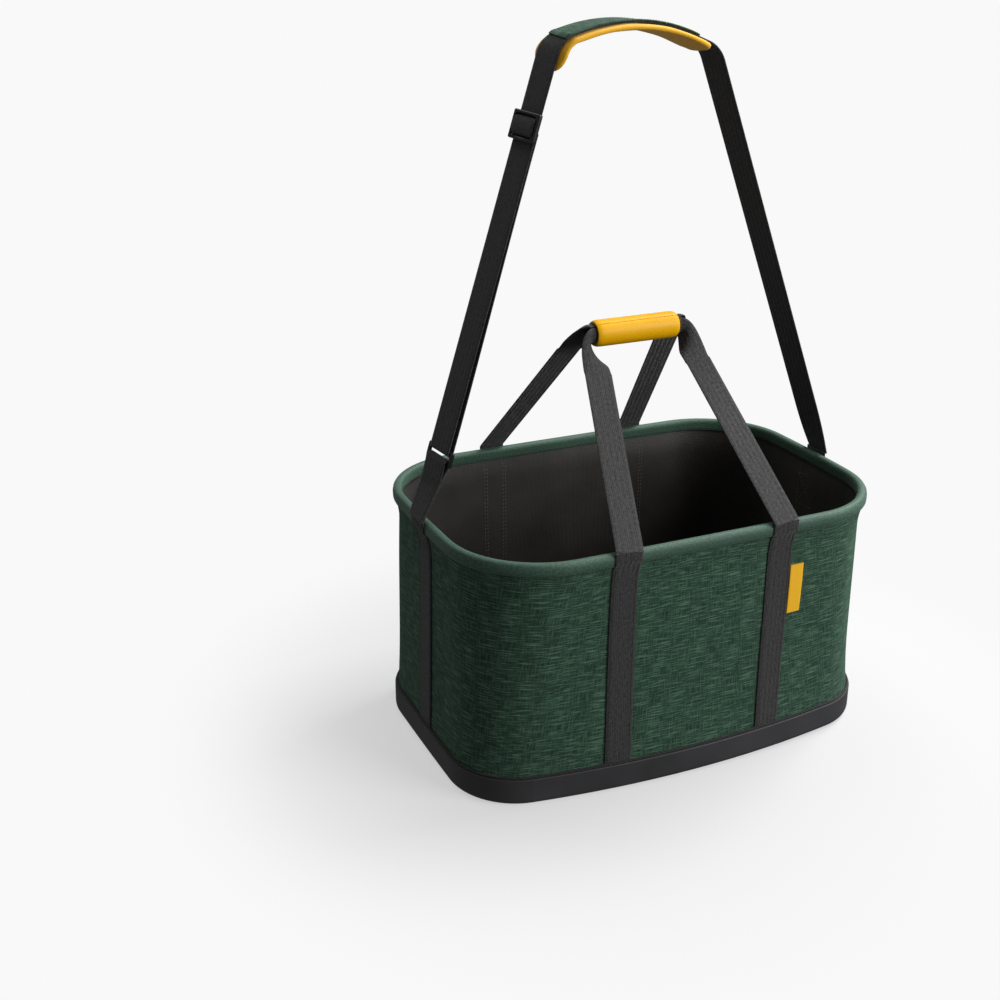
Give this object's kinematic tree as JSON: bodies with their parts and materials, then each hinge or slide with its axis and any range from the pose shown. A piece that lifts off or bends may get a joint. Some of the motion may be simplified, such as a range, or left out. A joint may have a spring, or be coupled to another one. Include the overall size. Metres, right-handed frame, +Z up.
{
  "type": "carry basket",
  "caption": "Soft-sided carry basket with a moulded base tray, a collapsible fabric wall on a sprung rim, folding webbing handles with a grip, and a padded shoulder strap.",
  "frame": {"origin": "on the floor, under the middle of the basket", "axes": "+Z up, +X along the basket's length with the side label's end to the right seen from the front, -Y the front"},
  "size_m": [0.5376, 0.3617, 0.8109],
  "materials": {
    "tray_plastic": "moulded, fine matt grain",
    "board": "plain stiff sheet",
    "lining_fabric": "near-black woven lining with a faint sheen",
    "piping": "black woven cord",
    "wall_cloth": "dark green heather, two-tone slubbed weave",
    "label_cloth": "yellow woven tab, no text",
    "hoop_steel": "sprung wire",
    "binding_tape": "plain green tape, slightly lustrous",
    "webbing": "charcoal ribbed webbing",
    "hardware_plastic": "black moulded, soft gloss",
    "pad_foam": "yellow padded cloth",
    "grip_silicone": "yellow silicone, satin"
  },
  "bodies": {
    "base": {"base_tray": "tray_plastic", "base_board": "board", "base_lining": "lining_fabric", "tray_piping": "piping", "wall_fabric": "wall_cloth", "wall_lining": "lining_fabric", "side_label": "label_cloth", "front_left_band": "webbing", "front_right_band": "webbing", "back_left_band": "webbing", "back_right_band": "webbing", "left_end_band": "webbing", "right_end_band": "webbing"},
    "rim": {"rim_binding": "binding_tape", "rim_wire": "hoop_steel", "wire_sleeve": "hoop_steel", "left_strap_tab": "webbing", "right_strap_root": "webbing", "front_left_band_top": "webbing", "front_right_band_top": "webbing", "back_left_band_top": "webbing", "back_right_band_top": "webbing", "left_end_band_top": "webbing", "right_end_band_top": "webbing"},
    "front_handle": {"front_left_leg": "webbing", "front_right_leg": "webbing", "front_grip_web": "webbing", "grip_front_half": "grip_silicone"},
    "back_handle": {"back_left_leg": "webbing", "back_right_leg": "webbing", "back_grip_web": "webbing", "grip_back_half": "grip_silicone"},
    "strap": {"strap_webbing": "webbing", "strap_ring": "hardware_plastic", "strap_return": "webbing", "pad_cushion": "pad_foam", "pad_cover": "wall_cloth"},
    "slider": {"slider_frame": "hardware_plastic", "slider_wrap": "webbing"}
  },
  "joints": [
    {"name": "rim_collapse", "type": "slide", "parent": "base", "child": "rim", "axis": [0, 0, -1], "range_m": [0, 0.225], "deforming": ["wall_fabric", "wall_lining", "side_label", "front_left_band", "front_right_band", "back_left_band", "back_right_band", "left_end_band", "right_end_band"]},
    {"name": "front_handle_fold", "type": "hinge", "parent": "rim", "child": "front_handle", "pos_m": [0, -0.1806, 0.297], "axis": [-1, 0, 0], "range_deg": [-215, 0]},
    {"name": "back_handle_fold", "type": "hinge", "parent": "rim", "child": "back_handle", "pos_m": [0, 0.1806, 0.297], "axis": [1, 0, 0], "range_deg": [-215, 0]},
    {"name": "strap_swing", "type": "hinge", "parent": "rim", "child": "strap", "pos_m": [0, 0, 0.297], "axis": [1, 0, 0], "range_deg": [-65, 65], "deforming": ["left_strap_tab", "right_strap_root"]},
    {"name": "slider_slide", "type": "slide", "parent": "strap", "child": "slider", "axis": [0.2927, 0, 0.9562], "range_m": [-0.28, 0.025], "deforming": ["strap_return"]}
  ]
}
